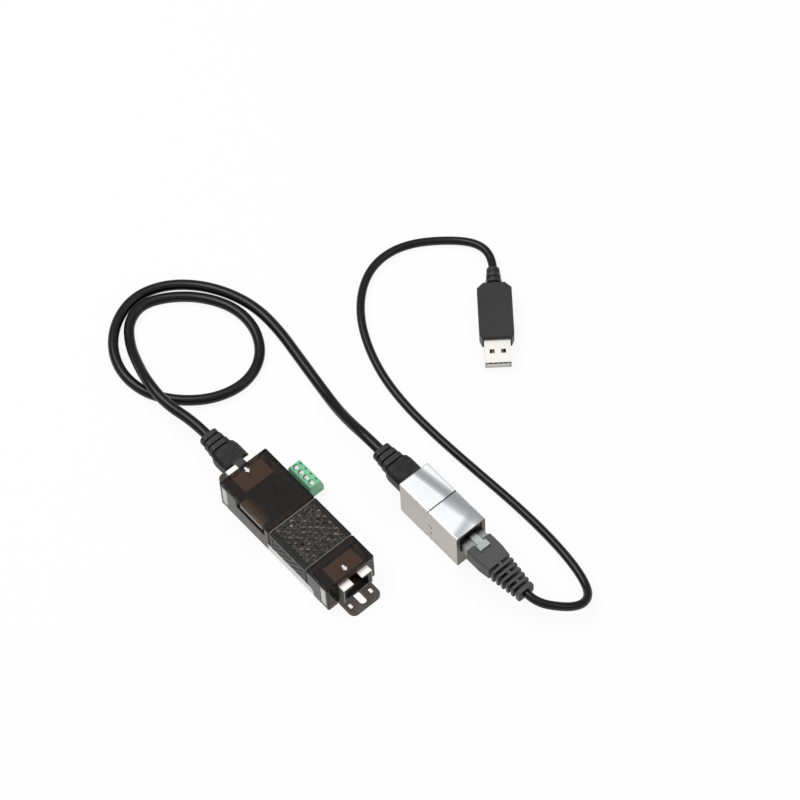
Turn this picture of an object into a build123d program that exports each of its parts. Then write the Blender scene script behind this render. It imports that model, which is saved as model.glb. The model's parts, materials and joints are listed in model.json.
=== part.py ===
from build123d import *
import os
from math import cos, radians, sin, tan

os.makedirs("parts", exist_ok=True)

# Sizes are in millimetres. X runs along the pod towards its sensor socket, Y towards its terminal block.
# The origin is the middle of the pod's underside.

# Pod case
case_length = 74.0
case_width = 27.0
case_height = 17.0
wall = 1.6
corner_radius = 0.8
edge_radius = 0.7
seam_corner_radius = 0.8
seam_gap = 0.3
device_seam_x = -3.0
sensor_seam_x = 22.5
fit_clearance = 0.2

# Base plate, its ears, board rails and snap fingers
base_thickness = 1.6
ear_reach = 10.2
ear_width = 17.0
ear_corner_radius = 3.0
ear_offset_y = 0.5
ear_passage_clearance = 0.3
screw_slot_width = 3.6
screw_slot_length = 7.8
screw_slot_from_case = 4.4
tie_slot_length = 2.9
tie_slot_width = 1.9
tie_slot_spacing = 11.6
tie_slot_from_case = 5.0
rail_thickness = 1.2
rail_height = 3.0
seat_height = 0.4
seat_width = 1.5
seat_spacing = 16.0
finger_width = 3.2
finger_thickness = 2.0
finger_height = 15.0
finger_from_end = 3.2
finger_inset = 0.1

# Vent cover: staggered six-sided holes, and tongues that slide under the end covers
vent_hole_size = 1.6
vent_hole_sides = 6
vent_pitch = 4.0
vent_columns = 6
vent_top_rows = 6
vent_side_rows = 3
vent_side_pitch = 3.4
vent_side_middle_z = 9.6
tongue_reach = 2.5
tongue_root = 2.0
tongue_thickness = 0.7
tongue_clearance = 0.1
tongue_foot_z = 5.0

# Switch window in the device-end cover, and the switch bank behind it
window_length = 18.3
window_from_seam = 3.4
window_bottom_z = 11.0
window_bevel = 0.7
bank_end_gap = 1.55
bank_depth = 3.0
bank_nose_height = 2.8
bank_recess = 0.6
bank_roof_gap = 0.7

# Circuit board and its chips
board_thickness = 1.6
board_end_gap = 2.4
controller_size = 7.0
controller_height = 1.2
controller_x = -14.0
transceiver_length = 4.9
transceiver_width = 3.9
transceiver_height = 1.5
transceiver_x = -21.5
regulator_length = 6.5
regulator_width = 3.5
regulator_height = 1.7
regulator_x = 11.0
regulator_from_edge = 3.8
sensing_chip_size = 3.0
sensing_chip_height = 1.1
sensing_chip_x = 8.0
capacitor_diameter = 5.0
capacitor_height = 5.4
capacitor_x = 19.0
capacitor_spacing = 8.0

# Modular sockets
socket_width = 16.0
socket_height = 10.6
socket_depth = 14.4
socket_reach = 3.5
socket_offset_y = 1.0
shield_thickness = 0.4
shield_notch_width = 4.7
shield_notch_length = 4.0
insert_recess = 0.3
cavity_width = 12.0
cavity_height = 7.1
cavity_depth = 12.5
cavity_floor = 1.2
latch_channel_width = 6.6
latch_channel_height = 1.5
contact_count = 8
contact_pitch = 1.02
spring_width = 0.5
spring_thickness = 0.2
spring_mouth_gap = 3.0
spring_length = 8.5
spring_rise = 2.5

# Modular plugs
plug_width = 11.7
plug_height = 6.6
plug_insertion = 11.0
plug_floor_clearance = 0.05
patch_plug_reach = 2.0
adapter_plug_reach = 4.9
blade_width = 0.35
blade_length = 4.0
blade_height = 1.5
blade_from_nose = 0.8
latch_slope = 5.5
latch_foot = 1.2
latch_thickness = 0.6
latch_root_width = 5.8
latch_root_length = 5.5
latch_tail_width = 3.2
latch_tab_width = 5.4
latch_tab_length = 3.2
latch_from_nose = 0.5
patch_latch_reach = 1.6
adapter_latch_reach = 9.5

# Patch lead boots
patch_boot_length = 10.3
patch_boot_width = 13.2
patch_boot_height = 8.2
patch_boot_edge = 1.3
patch_shoulder_length = 2.5
patch_shoulder_inset = 0.6
patch_rib_count = 3
patch_rib_thickness = 2.4
patch_rib_gap = 1.0
patch_rib_width = 10.8
patch_rib_height = 7.6
patch_rib_taper = 0.8
patch_rib_corner = 2.6
patch_core_width = 6.2
patch_core_height = 5.2
patch_core_corner = 2.2

# Adapter lead boot
adapter_boot_length = 13.5
adapter_boot_width = 13.8
adapter_boot_height = 8.2
adapter_boot_edge = 0.8
adapter_shoulder_length = 5.5
adapter_shoulder_inset = 0.75
adapter_notch_clearance = 0.2
adapter_notch_depth = 0.9
adapter_centre_web = 1.6
adapter_rib_count = 5
adapter_rib_thickness = 1.3
adapter_rib_gap = 1.5
adapter_rib_width = 12.0
adapter_rib_height = 7.8
adapter_rib_taper = 0.66
adapter_collar_length = 2.0
adapter_collar_edge = 0.9
adapter_core_width = 4.6
adapter_core_height = 4.8

# In-line coupler
coupler_length = 37.8
coupler_width = 16.6
coupler_height = 23.2
coupler_middle_x = 39.0
coupler_middle_y = 51.35
coupler_wall = 0.6
coupler_edge_radius = 0.8
coupler_seam_gap = 0.3
coupler_mouth_margin = 0.4
coupler_mouth_lip = 1.2
coupler_cavity_floor_z = 10.75
coupler_slit_length = 16.0
coupler_slit_width = 0.5
coupler_slit_depth = 0.3
coupler_slit_z = 1.2

# Plug-in terminal block
pole_count = 4
pole_pitch = 3.5
terminal_middle_x = -18.0
terminal_margin = 0.2
terminal_bottom_z = 0.9
terminal_top_z = 10.4
terminal_standoff = 2.8
terminal_depth = 8.1
terminal_brow_setback = 1.5
terminal_brow_z = 5.2
nose_insertion = 5.5
nose_bottom_z = 4.6
nose_top_z = 9.6
nose_margin = 0.3
header_wall = 0.8
header_back_wall = 1.6
header_inset = 0.2
pin_size = 1.0
pin_end_gap = 2.0
pin_slot_clearance = 0.2
screw_diameter = 2.8
screw_hole_clearance = 0.1
screw_from_inner = 3.0
screw_sink = 0.4
screw_slot = 0.5
screw_slot_depth = 0.7
wire_entry_width = 2.7
wire_entry_bottom_z = 1.9
wire_entry_top_z = 6.6
wire_entry_wall = 0.9
clamp_depth = 4.2
clamp_sheet = 0.5
test_slot_length = 1.4
test_slot_width = 0.8
test_slot_depth = 1.0
test_slot_from_inner = 5.7

# USB plug, lying flat
usb_neck_x = -46.4
usb_neck_y = 157.3
usb_angle = -39.0
usb_body_length = 31.0
usb_body_width = 16.0
usb_body_height = 8.0
usb_shoulder = 3.0
usb_nose_taper = 1.2
usb_edge = 0.7
usb_groove_width = 0.6
usb_groove_depth = 0.4
usb_rib_count = 3
usb_rib_thickness = 2.0
usb_rib_gap = 1.0
usb_rib_diameter = 7.4
usb_rib_taper = 0.3
usb_core_diameter = 5.6
usb_shell_length = 12.0
usb_shell_width = 12.0
usb_shell_height = 4.5
usb_shell_sheet = 0.3
usb_window_size = 2.2
usb_window_spacing = 5.2
usb_window_from_body = 6.0
usb_tongue_thickness = 1.85
usb_tongue_inset = 0.6
usb_contact_width = 1.0
usb_contact_length = 8.0
usb_contact_thickness = 0.15
usb_contact_pitch = 2.2
usb_contact_count = 4

# Cords
patch_cord_diameter = 5.0
patch_lead_in = 10.0
adapter_cord_diameter = 4.0
adapter_lead_in = 4.3
usb_lead_in = 4.2
arc_share = 0.45

# Places worked out from the sizes above
case_end_x = case_length / 2
case_side_y = case_width / 2
inner_side_y = case_side_y - wall
inner_top_z = case_height - wall
base_side_y = inner_side_y - fit_clearance
base_end_x = case_end_x - wall - fit_clearance
finger_x = case_end_x - finger_from_end
board_bottom_z = base_thickness + seat_height
board_top_z = board_bottom_z + board_thickness
board_side_y = base_side_y - rail_thickness - fit_clearance
socket_mouth_x = case_end_x + socket_reach
socket_back_x = socket_mouth_x - socket_depth
socket_top_z = board_top_z + socket_height
cavity_floor_z = board_top_z + cavity_floor
plug_seat = spring_thickness + plug_floor_clearance
window_top_z = inner_top_z
window_end_x = device_seam_x - window_from_seam
window_start_x = window_end_x - window_length
bank_length = window_length - 2 * bank_end_gap
regulator_y = board_side_y - regulator_from_edge
terminal_inner_y = case_side_y + terminal_standoff
terminal_outer_y = terminal_inner_y + terminal_depth
terminal_brow_y = terminal_outer_y - terminal_brow_setback
nose_end_y = case_side_y - nose_insertion
header_back_y = nose_end_y - header_back_wall
screw_y = terminal_inner_y + screw_from_inner
wire_entry_back_y = terminal_inner_y + wire_entry_wall
test_slot_y = terminal_inner_y + test_slot_from_inner
terminal_length = pole_count * pole_pitch + 2 * terminal_margin
nose_length = pole_count * pole_pitch - 2 * nose_margin
header_length = nose_length + 2 * (header_wall + fit_clearance)
header_front_y = case_side_y - header_inset
header_top_z = nose_top_z + fit_clearance + header_wall
coupler_device_x = coupler_middle_x - coupler_length / 2
coupler_adapter_x = coupler_middle_x + coupler_length / 2
patch_tail_length = patch_rib_count * (patch_rib_thickness + patch_rib_gap)
adapter_tail_length = (
    adapter_rib_count * (adapter_rib_thickness + adapter_rib_gap) + adapter_rib_gap + adapter_collar_length
)
usb_neck_length = usb_rib_count * (usb_rib_thickness + usb_rib_gap)
contact_offsets = [(i - (contact_count - 1) / 2) * contact_pitch for i in range(contact_count)]
pole_xs = [terminal_middle_x + (i - (pole_count - 1) / 2) * pole_pitch for i in range(pole_count)]


def block(x0, x1, y0, y1, z0, z1, mode=Mode.ADD):
    """Box between two corners, added to or cut from the part being built."""
    with Locations(((x0 + x1) / 2, (y0 + y1) / 2, (z0 + z1) / 2)):
        Box(abs(x1 - x0), abs(y1 - y0), abs(z1 - z0), mode=mode)


def write(builder, name):
    """Label a finished piece and write it as its own STEP file."""
    builder.part.label = name
    export_step(builder.part, f"parts/{name}.step")


# Base plate with slotted ears, board rails and four snap fingers
with BuildPart() as base_plate:
    with BuildSketch() as plan:
        Rectangle(2 * base_end_x, 2 * base_side_y)
        with Locations((0, ear_offset_y)):
            RectangleRounded(2 * (case_end_x + ear_reach), ear_width, ear_corner_radius)
        for side in (-1, 1):
            with Locations((side * (case_end_x + screw_slot_from_case), ear_offset_y)):
                SlotOverall(screw_slot_length, screw_slot_width, mode=Mode.SUBTRACT)
            with Locations((side * (case_end_x + tie_slot_from_case), ear_offset_y)):
                with GridLocations(0, tie_slot_spacing, 1, 2):
                    Rectangle(tie_slot_length, tie_slot_width, mode=Mode.SUBTRACT)
    extrude(amount=base_thickness)
    with BuildSketch(Plane.XY.offset(base_thickness)) as seats:
        with GridLocations(0, seat_spacing, 1, 2):
            Rectangle(2 * base_end_x, seat_width)
    extrude(amount=seat_height)
    with BuildSketch(Plane.XY.offset(base_thickness)) as rails:
        with GridLocations(0, 2 * base_side_y - rail_thickness, 1, 2):
            Rectangle(2 * (socket_back_x - fit_clearance), rail_thickness)
    extrude(amount=rail_height)
    with BuildSketch() as fingers:
        with GridLocations(2 * finger_x, 2 * (case_side_y - finger_inset) - finger_thickness, 2, 2):
            Rectangle(finger_width, finger_thickness)
    extrude(amount=finger_height)
    # Sill that closes the case wall under the terminal header
    block(
        terminal_middle_x - header_length / 2,
        terminal_middle_x + header_length / 2,
        base_side_y - rail_thickness,
        header_front_y,
        0,
        board_top_z,
    )
    block(
        terminal_middle_x - header_length / 2 - fit_clearance,
        terminal_middle_x + header_length / 2 + fit_clearance,
        base_side_y - rail_thickness - fit_clearance,
        case_side_y,
        board_top_z,
        base_thickness + rail_height,
        mode=Mode.SUBTRACT,
    )
write(base_plate, "base_plate")


def end_cover(end_x, seam_x):
    """Hood between a case end and a seam: open below and at the seam, with a socket mouth in its end wall."""
    outward = 1 if end_x > seam_x else -1
    inner_end_x = end_x - outward * wall
    past_seam_x = seam_x - outward * wall
    with BuildPart() as hood:
        with BuildSketch() as plan:
            with Locations(((end_x + seam_x) / 2, 0)):
                Rectangle(abs(end_x - seam_x), case_width)
            end_corners = plan.vertices().sort_by(Axis.X, reverse=outward > 0)[:2]
            fillet(end_corners, corner_radius)
            seam_corners = plan.vertices().sort_by(Axis.X, reverse=outward < 0)[:2]
            fillet(seam_corners, seam_corner_radius)
        extrude(amount=case_height)
        fillet(hood.faces().sort_by(Axis.Z)[-1].edges(), edge_radius)
        with BuildSketch() as hollow:
            with Locations(((inner_end_x + past_seam_x) / 2, 0)):
                Rectangle(abs(inner_end_x - past_seam_x), 2 * inner_side_y)
        extrude(amount=inner_top_z, mode=Mode.SUBTRACT)
        with BuildSketch(Plane.YZ.offset(end_x)) as mouth:
            with Locations((socket_offset_y, 0)):
                mouth_width = socket_width + 2 * fit_clearance
                mouth_height = socket_top_z + fit_clearance
                Rectangle(mouth_width, mouth_height, align=(Align.CENTER, Align.MIN))
            with Locations((ear_offset_y, 0)):
                passage_width = ear_width + 2 * ear_passage_clearance
                passage_height = base_thickness + ear_passage_clearance
                Rectangle(passage_width, passage_height, align=(Align.CENTER, Align.MIN))
        extrude(amount=2 * wall, both=True, mode=Mode.SUBTRACT)
        with BuildSketch() as finger_slots:
            slot_depth = finger_inset + finger_thickness + fit_clearance
            with Locations((outward * finger_x, 0)):
                with GridLocations(0, case_width, 1, 2):
                    Rectangle(finger_width + 2 * fit_clearance, 2 * slot_depth)
        extrude(amount=finger_height + fit_clearance, mode=Mode.SUBTRACT)
    return hood


# Device-end cover, with the switch window on one side and the terminal opening on the other
device_hood = end_cover(-case_end_x, device_seam_x - seam_gap / 2)
with BuildPart() as device_cover:
    add(device_hood.part)
    with BuildSketch(Plane.XZ.offset(case_side_y)) as window:
        with Locations(((window_start_x + window_end_x) / 2, (window_bottom_z + window_top_z) / 2)):
            Rectangle(window_length, window_top_z - window_bottom_z)
    extrude(amount=-wall, mode=Mode.SUBTRACT)
    outer_wall = device_cover.edges().filter_by_position(Axis.Y, -case_side_y - 0.01, -case_side_y + 0.01)
    window_edges = outer_wall.filter_by_position(
        Axis.Z, window_bottom_z - 0.01, window_top_z + 0.01
    ).filter_by_position(Axis.X, window_start_x - 0.01, window_end_x + 0.01)
    chamfer(window_edges, window_bevel)
    block(
        terminal_middle_x - header_length / 2 - fit_clearance,
        terminal_middle_x + header_length / 2 + fit_clearance,
        inner_side_y - fit_clearance,
        case_side_y + fit_clearance,
        0,
        header_top_z + fit_clearance,
        mode=Mode.SUBTRACT,
    )
write(device_cover, "device_cover")

# Sensor-end cover
sensor_cover = end_cover(case_end_x, sensor_seam_x + seam_gap / 2)
write(sensor_cover, "sensor_cover")

# Perforated vent cover between the two seams
vent_start_x = device_seam_x + seam_gap / 2
vent_end_x = sensor_seam_x - seam_gap / 2
vent_middle_x = (vent_start_x + vent_end_x) / 2
with BuildPart() as vent_cover:
    with BuildSketch() as plan:
        with Locations((vent_middle_x, 0)):
            RectangleRounded(vent_end_x - vent_start_x, case_width, seam_corner_radius)
    extrude(amount=case_height)
    fillet(vent_cover.faces().sort_by(Axis.Z)[-1].edges(), edge_radius)
    with BuildSketch(Plane.YZ.offset(vent_middle_x)) as tunnel:
        Rectangle(2 * inner_side_y, inner_top_z, align=(Align.CENTER, Align.MIN))
    extrude(amount=vent_end_x - vent_start_x, both=True, mode=Mode.SUBTRACT)
    # Tongues: a thick root inside the vent cover and a thinner lip that reaches under each neighbour
    for seam_x, inward in ((vent_start_x, 1), (vent_end_x, -1)):
        for clearance, from_x, to_x in (
            (0, seam_x + inward * seam_corner_radius, seam_x + inward * tongue_root),
            (tongue_clearance, seam_x - inward * (seam_gap + tongue_reach), seam_x + inward * tongue_root),
        ):
            lip_side_y = inner_side_y - clearance
            lip_top_z = inner_top_z - clearance
            inside_y = inner_side_y - tongue_clearance - tongue_thickness
            inside_top_z = inner_top_z - tongue_clearance - tongue_thickness
            with BuildSketch(Plane.YZ.offset(from_x)) as lip:
                with BuildLine():
                    Polyline(
                        (-lip_side_y, tongue_foot_z),
                        (-lip_side_y, lip_top_z),
                        (lip_side_y, lip_top_z),
                        (lip_side_y, tongue_foot_z),
                        (inside_y, tongue_foot_z),
                        (inside_y, inside_top_z),
                        (-inside_y, inside_top_z),
                        (-inside_y, tongue_foot_z),
                        close=True,
                    )
                make_face()
            extrude(amount=to_x - from_x)
    with BuildSketch(Plane.XY.offset(case_height)) as top_holes:
        with Locations((vent_middle_x, 0)):
            for fewer in (0, 1):
                with GridLocations(vent_pitch, vent_pitch, vent_columns - fewer, vent_top_rows - fewer):
                    RegularPolygon(vent_hole_size / 2, vent_hole_sides)
    extrude(amount=-2 * wall, mode=Mode.SUBTRACT)
    with BuildSketch(Plane.XZ) as side_holes:
        with Locations((vent_middle_x, vent_side_middle_z)):
            for fewer in (0, 1):
                with GridLocations(vent_pitch, vent_side_pitch, vent_columns - fewer, vent_side_rows - fewer):
                    RegularPolygon(vent_hole_size / 2, vent_hole_sides)
    extrude(amount=case_width, both=True, mode=Mode.SUBTRACT)
write(vent_cover, "vent_cover")

# Circuit board on the base plate's seats
with BuildPart() as circuit_board:
    with BuildSketch(Plane.XY.offset(board_bottom_z)) as outline:
        Rectangle(2 * (case_end_x - board_end_gap), 2 * board_side_y)
    extrude(amount=board_thickness)
write(circuit_board, "circuit_board")

# Chips and capacitors standing on the board
board_plane = Plane.XY.offset(board_top_z)
with BuildPart() as controller_chip:
    with BuildSketch(board_plane):
        with Locations((controller_x, 0)):
            Rectangle(controller_size, controller_size)
    extrude(amount=controller_height)
write(controller_chip, "controller_chip")

with BuildPart() as transceiver_chip:
    with BuildSketch(board_plane):
        with Locations((transceiver_x, 0)):
            Rectangle(transceiver_width, transceiver_length)
    extrude(amount=transceiver_height)
write(transceiver_chip, "transceiver_chip")

with BuildPart() as voltage_regulator:
    with BuildSketch(board_plane):
        with Locations((regulator_x, regulator_y)):
            Rectangle(regulator_length, regulator_width)
    extrude(amount=regulator_height)
write(voltage_regulator, "voltage_regulator")

with BuildPart() as sensing_chip:
    with BuildSketch(board_plane):
        with Locations((sensing_chip_x, 0)):
            Rectangle(sensing_chip_size, sensing_chip_size)
    extrude(amount=sensing_chip_height)
write(sensing_chip, "sensing_chip")

with BuildPart() as capacitors:
    with BuildSketch(board_plane):
        with Locations((capacitor_x, 0)):
            with GridLocations(0, capacitor_spacing, 1, 2):
                Circle(capacitor_diameter / 2)
    extrude(amount=capacitor_height)
write(capacitors, "capacitors")

# Switch bank: a tall body on the board with a nose that looks out of the window
with BuildPart() as switch_bank:
    bank_back_y = -board_side_y + bank_depth
    bank_top_z = inner_top_z - bank_roof_gap
    with BuildSketch(Plane.YZ.offset(window_start_x + bank_end_gap)) as profile:
        with BuildLine():
            Polyline(
                (bank_back_y, board_top_z),
                (bank_back_y, bank_top_z),
                (-case_side_y + bank_recess, bank_top_z),
                (-case_side_y + bank_recess, bank_top_z - bank_nose_height),
                (-board_side_y, bank_top_z - bank_nose_height),
                (-board_side_y, board_top_z),
                close=True,
            )
        make_face()
    extrude(amount=bank_length)
write(switch_bank, "switch_bank")


def socket_shield(facing):
    """Folded metal shield of a pod socket: open at its mouth and below, notched over the latch."""
    mouth_x = facing * socket_mouth_x
    back_x = facing * socket_back_x
    side_y = socket_width / 2
    with BuildPart() as shield:
        with BuildSketch(Plane.YZ.offset(mouth_x)) as section:
            with Locations((socket_offset_y, board_top_z)):
                Rectangle(socket_width, socket_height, align=(Align.CENTER, Align.MIN))
        extrude(amount=back_x - mouth_x)
        block(
            mouth_x + facing,
            back_x + facing * shield_thickness,
            socket_offset_y - side_y + shield_thickness,
            socket_offset_y + side_y - shield_thickness,
            0,
            socket_top_z - shield_thickness,
            mode=Mode.SUBTRACT,
        )
        block(
            mouth_x + facing,
            mouth_x - facing * shield_notch_length,
            socket_offset_y - shield_notch_width / 2,
            socket_offset_y + shield_notch_width / 2,
            socket_top_z - 2 * shield_thickness,
            socket_top_z + shield_thickness,
            mode=Mode.SUBTRACT,
        )
    return shield


def cut_cavity(mouth_x, facing, middle_y, floor_z):
    """Cut a plug's cavity and latch channel from the moulding being built, starting outside its mouth."""
    back_x = mouth_x - facing * cavity_depth
    roof_z = floor_z + cavity_height
    for width, low_z, high_z in (
        (cavity_width, floor_z, roof_z),
        (latch_channel_width, roof_z - 1, roof_z + latch_channel_height),
    ):
        block(mouth_x + facing, back_x, middle_y - width / 2, middle_y + width / 2, low_z, high_z, Mode.SUBTRACT)


def socket_insert(facing):
    """Moulded insert that fills a pod socket's shield."""
    mouth_x = facing * socket_mouth_x
    with BuildPart() as insert:
        block(
            mouth_x - facing * insert_recess,
            facing * (socket_back_x + shield_thickness),
            socket_offset_y - socket_width / 2 + shield_thickness,
            socket_offset_y + socket_width / 2 - shield_thickness,
            board_top_z,
            socket_top_z - shield_thickness,
        )
        cut_cavity(mouth_x, facing, socket_offset_y, cavity_floor_z)
        block(
            mouth_x + facing,
            mouth_x - facing * shield_notch_length,
            socket_offset_y - shield_notch_width / 2,
            socket_offset_y + shield_notch_width / 2,
            cavity_floor_z + cavity_height,
            socket_top_z,
            mode=Mode.SUBTRACT,
        )
    return insert


def contact_springs(mouth_x, facing, middle_y, floor_z, rise):
    """Row of contact springs that start on a cavity's floor and climb by a rise towards its back."""
    start_x = mouth_x - facing * spring_mouth_gap
    end_x = start_x - facing * spring_length
    with BuildPart() as springs:
        for offset_y in contact_offsets:
            with BuildSketch(Plane.XZ.offset(-(middle_y + offset_y) - spring_width / 2)) as strip:
                with BuildLine():
                    Polyline(
                        (start_x, floor_z),
                        (end_x, floor_z + rise),
                        (end_x, floor_z + rise + spring_thickness),
                        (start_x, floor_z + spring_thickness),
                        close=True,
                    )
                make_face()
            extrude(amount=spring_width)
    return springs


# Pod sockets: the device one is plugged, so its springs are pressed flat, and the sensor one stands open
for end, facing, rise in (("device", -1, 0), ("sensor", 1, spring_rise)):
    write(socket_shield(facing), f"{end}_socket_shield")
    write(socket_insert(facing), f"{end}_socket_insert")
    socket_springs = contact_springs(facing * socket_mouth_x, facing, socket_offset_y, cavity_floor_z, rise)
    write(socket_springs, f"{end}_socket_contacts")


def modular_plug(mouth_x, facing, middle_y, floor_z, reach, latch_reach):
    """Plug body with its spring latch and the latch's tab, pushed into a socket that faces the given way."""
    nose_x = mouth_x - facing * plug_insertion
    rear_x = mouth_x + facing * reach
    bottom_z = floor_z + plug_seat
    top_z = bottom_z + plug_height
    with BuildPart() as plug:
        with BuildSketch(Plane.YZ.offset(nose_x)) as section:
            with Locations((middle_y, bottom_z)):
                Rectangle(plug_width, plug_height, align=(Align.CENTER, Align.MIN))
        extrude(amount=rear_x - nose_x)
        for offset_y in contact_offsets:
            block(*blade_box(nose_x, facing, middle_y + offset_y, bottom_z), mode=Mode.SUBTRACT)
        latch_start_x = nose_x + facing * latch_from_nose
        latch_run = plug_insertion + latch_reach - latch_from_nose
        slope = tan(radians(latch_slope))
        for width, start, end in (
            (latch_root_width, latch_foot, latch_root_length),
            (latch_tail_width, latch_foot, latch_run),
            (latch_tab_width, latch_run - latch_tab_length, latch_run),
        ):
            with BuildSketch(Plane.XZ.offset(-middle_y)) as latch:
                with BuildLine():
                    Polyline(
                        (latch_start_x + facing * start, top_z + start * slope),
                        (latch_start_x + facing * end, top_z + end * slope),
                        (latch_start_x + facing * end, top_z + end * slope + latch_thickness),
                        (latch_start_x + facing * start, top_z + start * slope + latch_thickness),
                        close=True,
                    )
                make_face()
            extrude(amount=width / 2, both=True)
        block(
            latch_start_x,
            latch_start_x + facing * latch_foot,
            middle_y - latch_root_width / 2,
            middle_y + latch_root_width / 2,
            top_z,
            top_z + latch_foot * slope + latch_thickness,
        )
    return plug


def blade_box(nose_x, facing, blade_y, bottom_z):
    """Corners of one contact blade in the underside of a plug."""
    front_x = nose_x + facing * blade_from_nose
    back_x = front_x + facing * blade_length
    return front_x, back_x, blade_y - blade_width / 2, blade_y + blade_width / 2, bottom_z, bottom_z + blade_height


def plug_blades(mouth_x, facing, middle_y, floor_z):
    """Contact blades that fill the slots under a plug's nose."""
    nose_x = mouth_x - facing * plug_insertion
    with BuildPart() as blades:
        for offset_y in contact_offsets:
            block(*blade_box(nose_x, facing, middle_y + offset_y, floor_z + plug_seat))
    return blades


def plug_axis_z(floor_z):
    """Height of a seated plug's middle, which is also its cord's height."""
    return floor_z + plug_seat + plug_height / 2


def ribbed_boot(front_x, facing, middle_y, axis_z, body, ribs, core, ease):
    """Boot with a shouldered block, tapering ribs behind it and a core through them, its corners eased one way."""
    body_length, body_width, body_height, body_edge, shoulder_length, shoulder_inset = body
    tail_x = front_x + facing * body_length
    shoulder_x = tail_x - facing * shoulder_length
    side = body_width / 2
    with BuildPart() as boot:
        with BuildSketch(Plane.XY.offset(axis_z - body_height / 2)) as plan:
            with BuildLine():
                Polyline(
                    (front_x, middle_y - side),
                    (shoulder_x, middle_y - side),
                    (tail_x, middle_y - side + shoulder_inset),
                    (tail_x, middle_y + side - shoulder_inset),
                    (shoulder_x, middle_y + side),
                    (front_x, middle_y + side),
                    close=True,
                )
            make_face()
        extrude(amount=body_height)
        for level in (boot.faces().sort_by(Axis.Z)[-1], boot.faces().sort_by(Axis.Z)[0]):
            chamfer(level.edges().filter_by(Axis.Y, reverse=True), body_edge)
        for start, length, width, height, corner in ribs:
            with BuildSketch(Plane.YZ.offset(tail_x + facing * start)) as rib:
                with Locations((middle_y, axis_z)):
                    Rectangle(width, height)
                ease(rib.vertices(), corner)
            extrude(amount=facing * length)
        core_length, core_width, core_height, core_corner = core
        with BuildSketch(Plane.YZ.offset(tail_x)) as core_section:
            with Locations((middle_y, axis_z)):
                Rectangle(core_width, core_height)
            ease(core_section.vertices(), core_corner)
        extrude(amount=facing * core_length)
    return boot


def patch_ribs():
    """Start, length, width, height and corner radius of each rib on a patch boot."""
    rows = []
    for i in range(patch_rib_count):
        start = patch_rib_gap + i * (patch_rib_thickness + patch_rib_gap)
        shrink = i * patch_rib_taper
        width = patch_rib_width - shrink
        height = patch_rib_height - shrink / 2
        rows.append((start, patch_rib_thickness, width, height, patch_rib_corner))
    return rows


def adapter_ribs():
    """Start, length, width, height and corner radius of each rib and the collar on the adapter boot."""
    rows = []
    pitch = adapter_rib_thickness + adapter_rib_gap
    for i in range(adapter_rib_count + 1):
        is_collar = i == adapter_rib_count
        length = adapter_collar_length if is_collar else adapter_rib_thickness
        width = adapter_rib_width - i * adapter_rib_taper
        height = adapter_rib_height - i * adapter_rib_taper / 3
        rows.append((adapter_rib_gap + i * pitch, length, width, height, adapter_collar_edge))
    return rows


patch_body = (
    patch_boot_length,
    patch_boot_width,
    patch_boot_height,
    patch_boot_edge,
    patch_shoulder_length,
    patch_shoulder_inset,
)
patch_core = (patch_tail_length, patch_core_width, patch_core_height, patch_core_corner)
adapter_body = (
    adapter_boot_length,
    adapter_boot_width,
    adapter_boot_height,
    adapter_boot_edge,
    adapter_shoulder_length,
    adapter_shoulder_inset,
)
adapter_core = (
    adapter_tail_length - adapter_collar_length,
    adapter_core_width,
    adapter_core_height,
    adapter_boot_edge,
)

# Patch lead ends: one plug in the pod's device socket, one in the coupler
patch_ends = (
    ("patch_pod", -socket_mouth_x, -1, socket_offset_y, cavity_floor_z),
    ("patch_coupler", coupler_device_x, -1, coupler_middle_y, coupler_cavity_floor_z),
)
for end, mouth_x, facing, middle_y, floor_z in patch_ends:
    boot_x = mouth_x + facing * patch_plug_reach
    axis_z = plug_axis_z(floor_z)
    end_plug = modular_plug(mouth_x, facing, middle_y, floor_z, patch_plug_reach, patch_latch_reach)
    write(end_plug, f"{end}_plug")
    write(plug_blades(mouth_x, facing, middle_y, floor_z), f"{end}_contacts")
    end_boot = ribbed_boot(boot_x, facing, middle_y, axis_z, patch_body, patch_ribs(), patch_core, fillet)
    write(end_boot, f"{end}_boot")

# Adapter lead's modular end, in the coupler's other socket
adapter_boot_x = coupler_adapter_x + adapter_plug_reach
adapter_axis_z = plug_axis_z(coupler_cavity_floor_z)
adapter_place = (coupler_adapter_x, 1, coupler_middle_y, coupler_cavity_floor_z)
write(modular_plug(*adapter_place, adapter_plug_reach, adapter_latch_reach), "adapter_plug")
write(plug_blades(*adapter_place), "adapter_contacts")
plain_boot = ribbed_boot(
    adapter_boot_x, 1, coupler_middle_y, adapter_axis_z, adapter_body, adapter_ribs(), adapter_core, chamfer
)
with BuildPart() as adapter_boot:
    add(plain_boot.part)
    # Notch under the latch's tab
    boot_top_z = adapter_axis_z + adapter_boot_height / 2
    notch_side = latch_tab_width / 2 + adapter_notch_clearance
    block(
        adapter_boot_x - 1,
        coupler_adapter_x + adapter_latch_reach + adapter_notch_clearance,
        coupler_middle_y - notch_side,
        coupler_middle_y + notch_side,
        boot_top_z - adapter_notch_depth,
        boot_top_z + 1,
        mode=Mode.SUBTRACT,
    )
    # Webs in the middle that tie the ribs in pairs
    tail_x = adapter_boot_x + adapter_boot_length
    for start, _, _, height, _ in adapter_ribs()[::2]:
        block(
            tail_x + start - adapter_rib_gap,
            tail_x + start,
            coupler_middle_y - adapter_centre_web / 2,
            coupler_middle_y + adapter_centre_web / 2,
            adapter_axis_z - height / 2,
            adapter_axis_z + height / 2,
        )
write(adapter_boot, "adapter_boot")


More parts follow.
